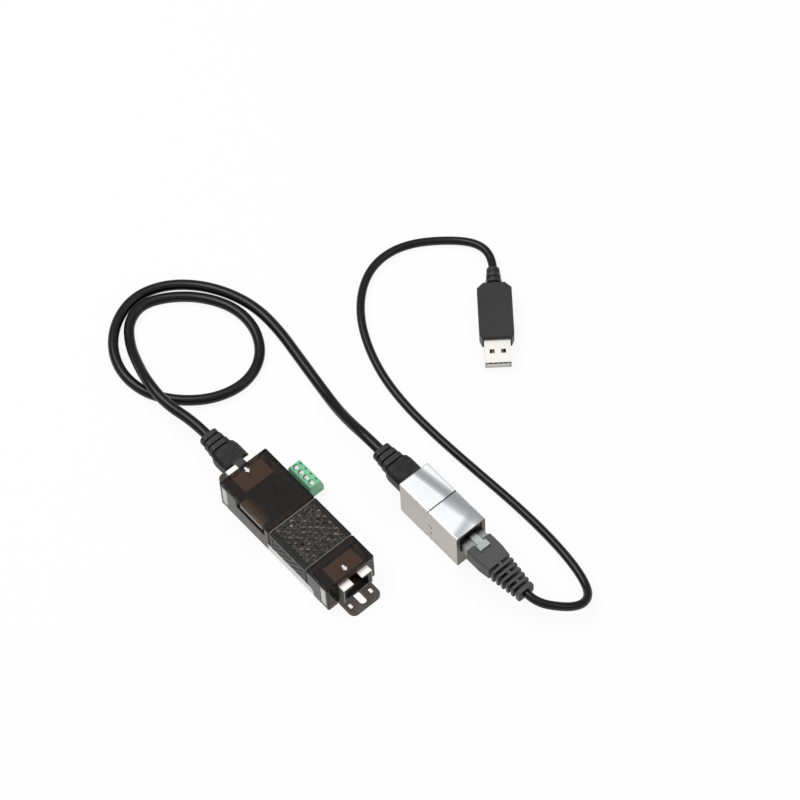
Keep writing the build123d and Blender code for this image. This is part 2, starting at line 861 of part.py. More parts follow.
def coupler_shell(end_x, seam_x):
    """Half of the coupler's metal shell: a folded box, open at the seam, with a socket mouth in its end."""
    outward = 1 if end_x > seam_x else -1
    side_y = coupler_width / 2
    with BuildPart() as shell:
        with BuildSketch(Plane.YZ.offset(end_x)) as section:
            with Locations((coupler_middle_y, 0)):
                Rectangle(coupler_width, coupler_height, align=(Align.CENTER, Align.MIN))
        extrude(amount=seam_x - end_x)
        fillet(shell.edges().filter_by(Axis.X), coupler_edge_radius)
        block(
            end_x - outward * coupler_wall,
            seam_x - outward * coupler_wall,
            coupler_middle_y - side_y + coupler_wall,
            coupler_middle_y + side_y - coupler_wall,
            coupler_wall,
            coupler_height - coupler_wall,
            mode=Mode.SUBTRACT,
        )
        mouth_side = cavity_width / 2 + coupler_mouth_margin
        block(
            end_x + outward * coupler_wall,
            end_x - outward * 2 * coupler_wall,
            coupler_middle_y - mouth_side,
            coupler_middle_y + mouth_side,
            coupler_cavity_floor_z - coupler_mouth_margin,
            coupler_height - coupler_mouth_lip,
            mode=Mode.SUBTRACT,
        )
        for side in (-1, 1):
            outer_y = coupler_middle_y + side * side_y
            block(
                seam_x + outward,
                seam_x + outward * (1 + coupler_slit_length),
                outer_y,
                outer_y - side * coupler_slit_depth,
                coupler_slit_z,
                coupler_slit_z + coupler_slit_width,
                mode=Mode.SUBTRACT,
            )
            # Side walls meet at the middle, so the seam shows above and below only
            block(
                seam_x + outward * coupler_wall,
                seam_x - outward * coupler_seam_gap / 2,
                outer_y,
                outer_y - side * coupler_wall,
                coupler_edge_radius,
                coupler_height - coupler_edge_radius,
            )
    return shell


write(coupler_shell(coupler_device_x, coupler_middle_x - coupler_seam_gap / 2), "coupler_device_shell")
write(coupler_shell(coupler_adapter_x, coupler_middle_x + coupler_seam_gap / 2), "coupler_adapter_shell")


def coupler_wire_box(offset_y):
    """Corners of one contact wire that runs from cavity to cavity through the coupler's insert."""
    half_run = coupler_length / 2 - spring_mouth_gap
    wire_y = coupler_middle_y + offset_y
    return (
        coupler_middle_x - half_run,
        coupler_middle_x + half_run,
        wire_y - spring_width / 2,
        wire_y + spring_width / 2,
        coupler_cavity_floor_z,
        coupler_cavity_floor_z + spring_thickness,
    )


# Coupler insert with a cavity at each end, and the contact wires through its middle
with BuildPart() as coupler_insert:
    insert_side = coupler_width / 2 - coupler_wall
    block(
        coupler_device_x + coupler_wall,
        coupler_adapter_x - coupler_wall,
        coupler_middle_y - insert_side,
        coupler_middle_y + insert_side,
        coupler_wall,
        coupler_height - coupler_wall,
    )
    cut_cavity(coupler_device_x, -1, coupler_middle_y, coupler_cavity_floor_z)
    cut_cavity(coupler_adapter_x, 1, coupler_middle_y, coupler_cavity_floor_z)
    for offset_y in contact_offsets:
        block(*coupler_wire_box(offset_y), mode=Mode.SUBTRACT)
write(coupler_insert, "coupler_insert")

with BuildPart() as coupler_contacts:
    for offset_y in contact_offsets:
        block(*coupler_wire_box(offset_y))
write(coupler_contacts, "coupler_contacts")

# Terminal header on the board, its mouth in the case wall
header_x0 = terminal_middle_x - header_length / 2
header_x1 = terminal_middle_x + header_length / 2
pin_z = (nose_bottom_z + nose_top_z) / 2
with BuildPart() as terminal_header:
    block(header_x0, header_x1, header_back_y, header_front_y, board_top_z, header_top_z)
    block(
        header_x0 + header_wall,
        header_x1 - header_wall,
        nose_end_y - fit_clearance,
        header_front_y + header_wall,
        nose_bottom_z - fit_clearance,
        nose_top_z + fit_clearance,
        mode=Mode.SUBTRACT,
    )
    for pole_x in pole_xs:
        with Locations((pole_x, (header_back_y + nose_end_y) / 2, pin_z)):
            Box(pin_size, nose_end_y, pin_size, mode=Mode.SUBTRACT)
write(terminal_header, "terminal_header")

# Square pins through the header's back wall
with BuildPart() as terminal_pins:
    for pole_x in pole_xs:
        block(
            pole_x - pin_size / 2,
            pole_x + pin_size / 2,
            header_back_y,
            header_front_y - pin_end_gap,
            pin_z - pin_size / 2,
            pin_z + pin_size / 2,
        )
write(terminal_pins, "terminal_pins")

# Terminal plug: sloping brow, wire entries in its face, screw holes and test slots in its top
with BuildPart() as terminal_plug:
    with BuildSketch(Plane.YZ.offset(terminal_middle_x - terminal_length / 2)) as profile:
        with BuildLine():
            Polyline(
                (terminal_inner_y, terminal_bottom_z),
                (terminal_outer_y, terminal_bottom_z),
                (terminal_outer_y, terminal_brow_z),
                (terminal_brow_y, terminal_top_z),
                (terminal_inner_y, terminal_top_z),
                close=True,
            )
        make_face()
    extrude(amount=terminal_length)
    block(
        terminal_middle_x - nose_length / 2,
        terminal_middle_x + nose_length / 2,
        nose_end_y,
        terminal_inner_y,
        nose_bottom_z,
        nose_top_z,
    )
    for pole_x in pole_xs:
        pin_slot = pin_size + 2 * pin_slot_clearance
        block(
            pole_x - pin_slot / 2,
            pole_x + pin_slot / 2,
            nose_end_y - 1,
            header_front_y,
            pin_z - pin_slot / 2,
            pin_z + pin_slot / 2,
            mode=Mode.SUBTRACT,
        )
        block(
            pole_x - wire_entry_width / 2,
            pole_x + wire_entry_width / 2,
            wire_entry_back_y,
            terminal_outer_y + 1,
            wire_entry_bottom_z,
            wire_entry_top_z,
            mode=Mode.SUBTRACT,
        )
        with Locations((pole_x, screw_y, terminal_top_z)):
            screw_hole_radius = screw_diameter / 2 + screw_hole_clearance
            Hole(screw_hole_radius, depth=terminal_top_z - wire_entry_top_z)
        with Locations((pole_x, test_slot_y, terminal_top_z)):
            Box(test_slot_length, test_slot_width, 2 * test_slot_depth, mode=Mode.SUBTRACT)
write(terminal_plug, "terminal_plug")

# Slotted clamp screws, their tips on the clamps
with BuildPart() as terminal_screws:
    with BuildSketch(Plane.XY.offset(wire_entry_top_z)) as shanks:
        with Locations(*[(pole_x, screw_y) for pole_x in pole_xs]):
            Circle(screw_diameter / 2)
    extrude(amount=terminal_top_z - screw_sink - wire_entry_top_z)
    for pole_x in pole_xs:
        with Locations((pole_x, screw_y, terminal_top_z - screw_sink)):
            Box(screw_diameter + 1, screw_slot, 2 * screw_slot_depth, mode=Mode.SUBTRACT)
write(terminal_screws, "terminal_screws")

# Clamp cages at the back of the wire entries
with BuildPart() as terminal_clamps:
    with BuildSketch(Plane.XZ.offset(-wire_entry_back_y)) as cages:
        for pole_x in pole_xs:
            with Locations((pole_x, (wire_entry_bottom_z + wire_entry_top_z) / 2)):
                entry_height = wire_entry_top_z - wire_entry_bottom_z
                Rectangle(wire_entry_width, entry_height)
                Rectangle(wire_entry_width - 2 * clamp_sheet, entry_height - 2 * clamp_sheet, mode=Mode.SUBTRACT)
    extrude(amount=-clamp_depth)
write(terminal_clamps, "terminal_clamps")

# USB plug, drawn in its own plane: local X from the neck's cord end towards the metal shell
usb_flat = Plane(
    origin=(usb_neck_x, usb_neck_y, 0),
    x_dir=(cos(radians(usb_angle)), sin(radians(usb_angle)), 0),
    z_dir=(0, 0, 1),
)
usb_axis_z = usb_body_height / 2
usb_body_end = usb_neck_length + usb_body_length


def usb_section(run):
    """Plane across the USB plug at a distance from the cord end of its neck, centred on the plug."""
    centre = usb_flat.from_local_coords((run, 0, usb_axis_z))
    return Plane(origin=centre, x_dir=usb_flat.y_dir, z_dir=usb_flat.x_dir)


with BuildPart() as usb_overmould:
    half_width = usb_body_width / 2
    with BuildSketch(usb_flat) as outline:
        with BuildLine():
            Polyline(
                (usb_neck_length, half_width - usb_shoulder),
                (usb_neck_length + usb_shoulder, half_width),
                (usb_body_end - usb_shoulder, half_width),
                (usb_body_end, half_width - usb_nose_taper),
                (usb_body_end, -half_width + usb_nose_taper),
                (usb_body_end - usb_shoulder, -half_width),
                (usb_neck_length + usb_shoulder, -half_width),
                (usb_neck_length, -half_width + usb_shoulder),
                close=True,
            )
        make_face()
    extrude(amount=usb_body_height)
    chamfer(usb_overmould.faces().sort_by(Axis.Z)[-1].edges(), usb_edge)
    chamfer(usb_overmould.faces().sort_by(Axis.Z)[0].edges(), usb_edge)
    with BuildSketch(usb_flat.offset(usb_axis_z - usb_groove_width / 2)) as groove:
        with Locations((usb_neck_length + usb_body_length / 2, 0)):
            groove_length = usb_body_length - 2 * usb_shoulder
            with GridLocations(0, usb_body_width, 1, 2):
                Rectangle(groove_length, 2 * usb_groove_depth)
    extrude(amount=usb_groove_width, mode=Mode.SUBTRACT)
    for i in range(usb_rib_count):
        with BuildSketch(usb_section(i * (usb_rib_thickness + usb_rib_gap))) as rib:
            Circle(usb_rib_diameter / 2 - usb_rib_taper * (usb_rib_count - 1 - i))
        extrude(amount=usb_rib_thickness)
    with BuildSketch(usb_section(0)) as core:
        Circle(usb_core_diameter / 2)
    extrude(amount=usb_neck_length)
write(usb_overmould, "usb_overmould")

# Metal shell of the USB plug, with its two lock windows above and below
with BuildPart() as usb_shell:
    with BuildSketch(usb_section(usb_body_end)) as sheet:
        Rectangle(usb_shell_width, usb_shell_height)
        inner_width = usb_shell_width - 2 * usb_shell_sheet
        inner_height = usb_shell_height - 2 * usb_shell_sheet
        Rectangle(inner_width, inner_height, mode=Mode.SUBTRACT)
    extrude(amount=usb_shell_length)
    with BuildSketch(usb_flat) as windows:
        with Locations((usb_body_end + usb_window_from_body, 0)):
            with GridLocations(0, usb_window_spacing, 1, 2):
                Rectangle(usb_window_size, usb_window_size)
    extrude(amount=usb_body_height, mode=Mode.SUBTRACT)
write(usb_shell, "usb_shell")

# Moulded tongue along the shell's floor, and the contacts on it
tongue_middle_z = -inner_height / 2 + usb_tongue_thickness / 2
with BuildPart() as usb_tongue:
    with BuildSketch(usb_section(usb_body_end)) as section:
        with Locations((0, tongue_middle_z)):
            Rectangle(inner_width, usb_tongue_thickness)
    extrude(amount=usb_shell_length - usb_tongue_inset)
write(usb_tongue, "usb_tongue")

with BuildPart() as usb_contacts:
    with BuildSketch(usb_section(usb_body_end + usb_shell_length - usb_tongue_inset - usb_contact_length)) as section:
        with Locations((0, tongue_middle_z + (usb_tongue_thickness + usb_contact_thickness) / 2)):
            with GridLocations(usb_contact_pitch, 0, usb_contact_count, 1):
                Rectangle(usb_contact_width, usb_contact_thickness)
    extrude(amount=usb_contact_length)
write(usb_contacts, "usb_contacts")

# Cord routes. The patch cord leaves the pod, crosses over its own loop and runs on to the coupler.
patch_floor_z = patch_cord_diameter / 2
patch_over_z = 10.6
patch_pod_end_x = -socket_mouth_x - patch_plug_reach - patch_boot_length - patch_tail_length
patch_coupler_end_x = coupler_device_x - patch_plug_reach - patch_boot_length - patch_tail_length
patch_pod_axis_z = plug_axis_z(cavity_floor_z)
patch_coupler_axis_z = plug_axis_z(coupler_cavity_floor_z)
patch_route = [
    (patch_pod_end_x, socket_offset_y, patch_pod_axis_z),
    (patch_pod_end_x - patch_lead_in, socket_offset_y, patch_pod_axis_z),
    (-88.0, -1.6, 10.2),
    (-102.5, -0.6, patch_over_z),
    (-115.8, 3.0, 6.2),
    (-128.0, 7.4, 2.6),
    (-138.0, 14.4, patch_floor_z),
    (-141.4, 25.4, patch_floor_z),
    (-135.6, 37.6, patch_floor_z),
    (-125.5, 48.4, patch_floor_z),
    (-111.5, 55.8, patch_floor_z),
    (-96.5, 55.4, patch_floor_z),
    (-83.5, 47.6, patch_floor_z),
    (-77.4, 34.5, patch_floor_z),
    (-80.0, 19.5, patch_floor_z),
    (-89.0, 6.0, patch_floor_z),
    (-102.5, -3.4, patch_floor_z),
    (-118.3, -5.6, patch_floor_z),
    (-133.2, -0.8, patch_floor_z),
    (-144.4, 10.4, patch_floor_z),
    (-148.6, 25.0, patch_floor_z),
    (-144.4, 39.6, patch_floor_z),
    (-134.2, 51.0, patch_floor_z),
    (-120.5, 59.6, patch_floor_z),
    (-104.5, 64.0, patch_floor_z),
    (-87.5, 63.0, patch_floor_z),
    (-70.0, 60.2, patch_floor_z),
    (-52.5, 57.4, 2.8),
    (-37.0, 54.4, 5.4),
    (-24.0, 52.2, 10.6),
    (patch_coupler_end_x - patch_lead_in, coupler_middle_y, patch_coupler_axis_z),
    (patch_coupler_end_x, coupler_middle_y, patch_coupler_axis_z),
]

# The adapter cord leaves the coupler, drops to the floor in a tight bend and sweeps back to the USB plug.
adapter_floor_z = adapter_cord_diameter / 2
adapter_end_x = adapter_boot_x + adapter_boot_length + adapter_tail_length
usb_lead_in_point = usb_flat.from_local_coords((-usb_lead_in, 0, usb_axis_z))
adapter_route = [
    (adapter_end_x, coupler_middle_y, adapter_axis_z),
    (adapter_end_x + adapter_lead_in, coupler_middle_y, adapter_axis_z),
    (104.8, 52.85, 13.4),
    (109.5, 56.6, 11.2),
    (112.2, 62.2, 8.4),
    (112.1, 68.4, 5.8),
    (109.2, 73.9, 3.6),
    (104.0, 77.6, 2.3),
    (95.8, 80.0, adapter_floor_z),
    (83.6, 81.6, adapter_floor_z),
    (68.0, 82.3, adapter_floor_z),
    (51.0, 82.0, adapter_floor_z),
    (34.0, 81.0, adapter_floor_z),
    (16.0, 80.0, adapter_floor_z),
    (-2.0, 79.4, adapter_floor_z),
    (-20.0, 79.8, adapter_floor_z),
    (-37.4, 82.2, adapter_floor_z),
    (-53.8, 87.4, adapter_floor_z),
    (-68.6, 95.2, adapter_floor_z),
    (-79.8, 105.6, adapter_floor_z),
    (-86.4, 117.6, adapter_floor_z),
    (-87.2, 129.8, adapter_floor_z),
    (-83.4, 140.8, adapter_floor_z),
    (-76.5, 150.6, adapter_floor_z),
    (-68.8, 158.4, 2.4),
    (-62.3, 161.9, 3.2),
    (-56.0, 162.4, 3.8),
    tuple(usb_lead_in_point),
    (usb_neck_x, usb_neck_y, usb_axis_z),
]


def bend_radii(route):
    """Largest arc that fits at each inner point of a route, from its shorter run and its turn."""
    points = [Vector(*point) for point in route]
    radii = []
    for before, here, after in zip(points, points[1:], points[2:]):
        turn = (here - before).get_angle(after - here)
        shorter = min((here - before).length, (after - here).length)
        radii.append(arc_share * shorter / tan(radians(turn / 2)))
    return radii


def cord_tube(route, diameter, name):
    """Round tube along straight runs and tangent arcs."""
    radii = bend_radii(route)
    with BuildPart() as tube:
        with BuildLine() as path:
            FilletPolyline(*route, radius=radii)
        start = path.wires()[0]
        with BuildSketch(Plane(origin=start @ 0, z_dir=start % 0)) as section:
            Circle(diameter / 2)
        sweep(path=start)
    length = start.length
    ideal = section.sketch.area * length
    print(name, "length", round(length, 1), "tightest bend", round(min(radii), 1))
    print(name, "bends", [round(radius, 1) for radius in radii])
    print(name, "volume over section times length", round(tube.part.volume / ideal, 4))
    write(tube, name)


cord_tube(patch_route, patch_cord_diameter, "patch_cord")
cord_tube(adapter_route, adapter_cord_diameter, "adapter_cord")
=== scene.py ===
import json
from math import cos, radians, sin

import bpy
from mathutils import Matrix, Vector


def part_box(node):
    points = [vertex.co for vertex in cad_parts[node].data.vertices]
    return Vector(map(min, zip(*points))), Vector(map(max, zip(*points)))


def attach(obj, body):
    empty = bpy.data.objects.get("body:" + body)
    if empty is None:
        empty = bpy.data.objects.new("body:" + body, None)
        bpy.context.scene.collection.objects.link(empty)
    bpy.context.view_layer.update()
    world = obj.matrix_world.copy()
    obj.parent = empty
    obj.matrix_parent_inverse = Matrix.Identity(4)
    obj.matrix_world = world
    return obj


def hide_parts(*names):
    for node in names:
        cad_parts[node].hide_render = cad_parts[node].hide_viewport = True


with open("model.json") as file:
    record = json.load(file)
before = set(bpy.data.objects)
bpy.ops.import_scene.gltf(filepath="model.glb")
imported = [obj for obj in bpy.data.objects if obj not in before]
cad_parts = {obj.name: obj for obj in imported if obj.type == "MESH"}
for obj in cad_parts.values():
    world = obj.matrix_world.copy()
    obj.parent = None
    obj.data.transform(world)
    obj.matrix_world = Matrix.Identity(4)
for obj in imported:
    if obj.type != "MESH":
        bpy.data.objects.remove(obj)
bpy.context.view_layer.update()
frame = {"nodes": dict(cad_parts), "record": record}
scene = bpy.context.scene
nodes = frame["nodes"]

MM = 0.001
LEVEL = 0.5    # upward part of a face's normal from which the face counts as a top
FACING = 0.7   # part of a face's normal along an axis from which it looks along that axis


# Camera: fitted to the photograph, which is square
IMAGE_PIXELS = 800
SENSOR_WIDTH = 36
FOCAL_PIXELS = 3387.51
azimuth, elevation, roll = radians(52.01), radians(58.3), radians(-3.51)
camera_distance, shift_right, shift_up = 1500, 45.17, 61.01
back = Vector((sin(azimuth) * cos(elevation), -cos(azimuth) * cos(elevation), sin(elevation)))
right = Vector((cos(azimuth), sin(azimuth), 0))
up = back.cross(right)
image_right = cos(roll) * right + sin(roll) * up
image_up = -sin(roll) * right + cos(roll) * up
camera_place = (camera_distance * back + shift_right * image_right + shift_up * image_up) * MM
camera_turn = Matrix((image_right, image_up, back)).transposed().to_4x4()
camera_data = bpy.data.cameras.new("camera")
camera_data.sensor_fit = "HORIZONTAL"
camera_data.sensor_width = SENSOR_WIDTH
camera_data.lens = FOCAL_PIXELS / IMAGE_PIXELS * SENSOR_WIDTH
camera_data.clip_start = 0.05
camera_data.clip_end = 50
camera = bpy.data.objects.new("camera", camera_data)
scene.collection.objects.link(camera)
camera.matrix_world = Matrix.Translation(camera_place) @ camera_turn
scene.camera = camera
scene.view_settings.view_transform = "Standard"


def set_stops(ramp_node, stops):
    """Puts (position, colour) pairs, in rising order, on a colour ramp."""
    elements = ramp_node.color_ramp.elements
    while len(elements) < len(stops):
        elements.new(0.5)
    for element, (position, colour) in zip(elements, stops):
        element.position = position
        element.color = (*colour, 1)


def grey(level):
    return (level, level, level)


class Look:
    """A node material under construction."""

    def __init__(self, name):
        self.material = bpy.data.materials.new(name)
        self.material.use_nodes = True
        self.tree = self.material.node_tree
        self.tree.nodes.clear()
        self.output = self.tree.nodes.new("ShaderNodeOutputMaterial")

    def add(self, kind, inputs=None, **settings):
        node = self.tree.nodes.new("ShaderNode" + kind)
        for key, value in settings.items():
            setattr(node, key, value)
        for key, value in (inputs or {}).items():
            self.put(node.inputs[key], value)
        return node

    def put(self, socket, value):
        if isinstance(value, bpy.types.NodeSocket):
            self.tree.links.new(value, socket)
        elif isinstance(value, (tuple, list)) and len(value) == 3 and socket.type == "RGBA":
            socket.default_value = (*value, 1)
        else:
            socket.default_value = value

    def coordinates(self, scale=(1, 1, 1)):
        where = self.add("TexCoord").outputs["Object"]
        return self.add("Mapping", {"Vector": where, "Scale": scale}).outputs["Vector"]

    def parts(self, output):
        """The three parts of the object's own place or normal."""
        return self.add("SeparateXYZ", {"Vector": self.add("TexCoord").outputs[output]}).outputs

    def noise(self, scale, detail=3, roughness=0.55, stretch=(1, 1, 1)):
        inputs = {"Vector": self.coordinates(stretch), "Scale": scale, "Detail": detail,
                  "Roughness": roughness}
        return self.add("TexNoise", inputs).outputs["Fac"]

    def ramp(self, value, stops):
        node = self.add("ValToRGB", {"Fac": value})
        set_stops(node, stops)
        return node.outputs["Color"]

    def range(self, value, low, high, start=0.0, end=1.0):
        """A number that goes from low to high while the value goes from start to end."""
        inputs = {"Value": value, "From Min": start, "From Max": end, "To Min": low, "To Max": high}
        return self.add("MapRange", inputs).outputs["Result"]

    def drift(self, dark, light, scale=70):
        """A slow change between two colours."""
        return self.ramp(self.noise(scale, 2), [(0.3, dark), (0.7, light)])

    def patchy(self, low, high, scale=160):
        """A number that varies from place to place, for uneven gloss."""
        return self.range(self.noise(scale), low, high)

    def math(self, operation, first, second=0.0):
        node = self.add("Math", operation=operation)
        self.put(node.inputs[0], first)
        self.put(node.inputs[1], second)
        return node.outputs["Value"]

    def above(self, value, level):
        return self.math("GREATER_THAN", value, level)

    def below(self, value, level):
        return self.math("LESS_THAN", value, level)

    def both(self, first, second):
        return self.math("MULTIPLY", first, second)

    def magnitude(self, value):
        return self.math("ABSOLUTE", value)

    def away(self, value, middle):
        """How far a value is from a middle one, to either side."""
        return self.magnitude(self.math("SUBTRACT", value, middle))

    def tint(self, share, first, second, how="MIX"):
        inputs = {"Fac": share, "Color1": first, "Color2": second}
        return self.add("MixRGB", inputs, blend_type=how).outputs["Color"]

    def blend(self, share, first, second):
        mix = self.add("MixShader", {"Fac": share})
        self.put(mix.inputs[1], first)
        self.put(mix.inputs[2], second)
        return mix.outputs["Shader"]

    def bump(self, height, distance, strength=1.0, normal=None):
        inputs = {"Height": height, "Distance": distance, "Strength": strength}
        if normal is not None:
            inputs["Normal"] = normal
        return self.add("Bump", inputs).outputs["Normal"]

    def principled(self, **inputs):
        named = {key.replace("_", " "): value for key, value in inputs.items()}
        return self.add("BsdfPrincipled", named).outputs["BSDF"]

    def roughen(self, shader, height, depth, strength):
        """Lets a texture stand out of the surface by a depth in millimetres."""
        self.put(shader.node.inputs["Normal"], self.bump(height, depth * MM, strength))

    def surface(self, shader):
        self.tree.links.new(shader, self.output.inputs["Surface"])
        return self.material


def grained_plastic(name, dark, light, roughness, grain=0.0):
    """Moulded plastic: a slow drift of colour, uneven gloss and a fine grain in the surface."""
    look = Look(name)
    gloss = look.patchy(roughness * 0.85, roughness * 1.2)
    shader = look.principled(Base_Color=look.drift(dark, light), Roughness=gloss)
    if grain:
        look.roughen(shader, look.noise(900, 4), grain, 0.6)
    return look.surface(shader)


def see_through(look, roughness, tint=(1, 1, 1), through=1.0, index=1.36):
    """See-through plastic that lets shadow rays in, so what it holds is lit."""
    gloss = look.patchy(roughness * 0.8, roughness * 1.25, 120)
    shader = look.principled(Base_Color=tint, Roughness=gloss, IOR=index,
                             Transmission_Weight=through)
    path = look.add("LightPath")
    clear = look.add("BsdfTransparent", {"Color": tint}).outputs["BSDF"]
    return look.blend(path.outputs["Is Shadow Ray"], shader, clear)


def smoke(look, tint, density):
    """Darkens a see-through plastic with the depth of it that light passes."""
    depth = look.add("VolumeAbsorption", {"Color": tint, "Density": density})
    look.tree.links.new(depth.outputs["Volume"], look.output.inputs["Volume"])


def smoked_shell(name, roughness, tint, density):
    """Smoked cover, brown over what is pale."""
    look = Look(name)
    smoke(look, tint, density)
    return look.surface(see_through(look, roughness))


def plug_look(name, mouth_x, clear_x):
    """Clear moulded plug with painted shade where its nose goes into the black mouth that holds it."""
    look = Look(name)
    out = look.range(look.parts("Object")["X"], 0, 1, mouth_x * MM, clear_x * MM)
    # painted shade: near black at the mouth, fading to the clear colour further out
    colour = look.ramp(out, [(0.0, (0.02, 0.019, 0.018)), (1.0, (0.76, 0.78, 0.78))])
    return look.surface(see_through(look, 0.12, colour, through=0.6, index=1.48))


def base_look(name, finger_y, finger_z):
    """Darker see-through base whose snap fingers have pale outer faces, a painted highlight."""
    look = Look(name)
    smoke(look, (0.147, 0.094, 0.05), 1650.0)
    place = look.parts("Object")
    outside = look.both(look.above(look.magnitude(place["Y"]), finger_y * MM),
                        look.above(place["Z"], finger_z * MM))
    # painted highlight: the snap fingers' outer faces get an opaque pale colour instead of the smoked
    # plastic
    face = look.principled(Base_Color=look.drift((0.56, 0.56, 0.54), (0.66, 0.66, 0.64), 90),
                           Roughness=look.patchy(0.25, 0.4, 200))
    return look.surface(look.blend(outside, see_through(look, 0.12), face))


def bright_metal(name, dark, light, roughness):
    """Small metal parts: fine brushing and patchy gloss."""
    look = Look(name)
    streak = look.noise(500, roughness=0.6)
    gloss = look.range(streak, roughness * 0.75, roughness * 1.3)
    shader = look.principled(Base_Color=look.drift(dark, light, 45), Metallic=1.0, Roughness=gloss)
    look.roughen(shader, streak, 0.004, 0.4)
    return look.surface(shader)


def shield_look(name):
    """Tinned sheet: pale and matt on top, with painted shade on its upright faces, lighter painted
    shade at its cut ends.
    """
    look = Look(name)
    facing = look.parts("Normal")
    top = look.above(facing["Z"], LEVEL)
    end = look.above(look.magnitude(facing["X"]), FACING)
    pale = look.drift((0.88, 0.85, 0.81), (0.95, 0.92, 0.88), 80)
    # painted shade: upright faces darkened, cut ends only half as pale as the top
    painted_upright_shade = look.drift((0.11, 0.12, 0.1), (0.17, 0.18, 0.15), 80)
    colour = look.tint(top, look.tint(end, painted_upright_shade, (0.5, 0.5, 0.47)), pale)
    shader = look.principled(Base_Color=colour, Metallic=0.35, Roughness=look.patchy(0.4, 0.55, 400))
    look.roughen(shader, look.noise(500), 0.004, 0.4)
    return look.surface(shader)


# Coupler, in millimetres: where its halves meet, the reach of the painted seam shade line and of the
# painted rim shade, and three small marks on its long side
COUPLER_MIDDLE_X = 39.0
SEAM_HALF_WIDTH = 0.4
RIM_FROM_MIDDLE = 18.45
MARK_PLACES = ((39.7, 11.8), (41.0, 11.7), (40.6, 6.6))
MARK_REACH = 0.7
MARK_SLIMNESS = 2.0
# Painted shade on the near half's top, a baked reflection: a band across it that leans and fades
# towards one side
SHADE_BAND_LEAN = 0.3
SHADE_BAND_START, SHADE_BAND_END = 65.4, 75.4
SHADE_BAND_FULL_Y, SHADE_BAND_GONE_Y = 52.0, 57.5
SHADE_BAND_STOPS = [
    (0.15, grey(1)), (0.4, (0.58, 0.59, 0.62)), (0.55, (0.6, 0.61, 0.64)),
    (0.7, (0.8, 0.81, 0.83)), (0.78, grey(1)),
]


def coupler_look(name, crease_y, lean, half_width, depth, near_half=False):
    """Bright sheet: a shallow crease along its top, pale rounded edges, painted shade on its ends and
    far rim, a thin painted shade line along the seam, a warmer painted reflection tone on its long side
    and, on the near half, a painted band of shade across its top.
    """
    look = Look(name)
    place = look.parts("Object")
    facing = look.parts("Normal")
    top = look.above(facing["Z"], LEVEL)
    side = look.below(facing["Y"], -FACING)
    end = look.above(look.magnitude(facing["X"]), FACING)
    from_middle = look.away(place["X"], COUPLER_MIDDLE_X * MM)
    colour = look.drift((0.83, 0.84, 0.85), (0.87, 0.88, 0.89), 45)
    if near_half:
        # painted shade: a darker bluish band multiplied into the top of the near half
        along = look.math("ADD", place["X"], look.math("MULTIPLY", place["Y"], SHADE_BAND_LEAN))
        painted_band = look.ramp(look.range(along, 0, 1, SHADE_BAND_START * MM, SHADE_BAND_END * MM), SHADE_BAND_STOPS)
        share = look.range(place["Y"], 1, 0, SHADE_BAND_FULL_Y * MM, SHADE_BAND_GONE_Y * MM)
        colour = look.tint(look.both(top, share), colour, painted_band, "MULTIPLY")
    else:
        # painted shade: the far rim of the device half is darkened
        colour = look.tint(look.above(from_middle, RIM_FROM_MIDDLE * MM), colour, (0.62, 0.61, 0.59))
    # painted shade: a thin dark line on the top along the seam between the halves
    seam = look.both(look.below(from_middle, SEAM_HALF_WIDTH * MM), top)
    colour = look.tint(seam, colour, (0.34, 0.35, 0.36))
    # painted shade: the end faces are darkened
    colour = look.tint(end, colour, (0.38, 0.36, 0.32))
    # painted reflection: the long side takes a warmer grey than the top
    colour = look.tint(side, colour, (0.84, 0.82, 0.79))
    for mark_x, mark_z in MARK_PLACES:
        aside = look.math("MULTIPLY", look.away(place["X"], mark_x * MM), MARK_SLIMNESS)
        reach = look.math("MAXIMUM", aside, look.away(place["Z"], mark_z * MM))
        mark = look.both(look.below(reach, MARK_REACH * MM), side)
        colour = look.tint(mark, colour, (0.2, 0.18, 0.15))
    rounded = look.below(look.away(facing["Z"], 0.6), 0.32)
    streak = look.noise(500, roughness=0.6, stretch=(1, 8, 8))
    shader = look.principled(Base_Color=colour, Metallic=look.range(rounded, 1.0, 0.0),
                             Roughness=look.range(streak, 0.28, 0.42), Specular_Tint=(0.3, 0.28, 0.26))
    across = look.math("SUBTRACT", place["Y"], look.math("MULTIPLY", place["X"], lean))
    crease = look.range(across, 1, 0, (crease_y - half_width) * MM, (crease_y + half_width) * MM)
    crease.node.interpolation_type = "SMOOTHERSTEP"
    brushed = look.bump(streak, 0.004 * MM, 0.3)
    look.put(shader.node.inputs["Normal"], look.bump(crease, depth * MM, 1.0, brushed))
    return look.surface(shader)


# Vent cover, in millimetres: its top skin, the lattice of holes in it and its edges at the seams, where
# painted highlight lines begin
VENT_SKIN_Z = 15.2
VENT_INNER_Y = 12.8
LATTICE_Y = 10.6
VENT_FAR_EDGE_X, VENT_NEAR_EDGE_X = -2.15, 21.95


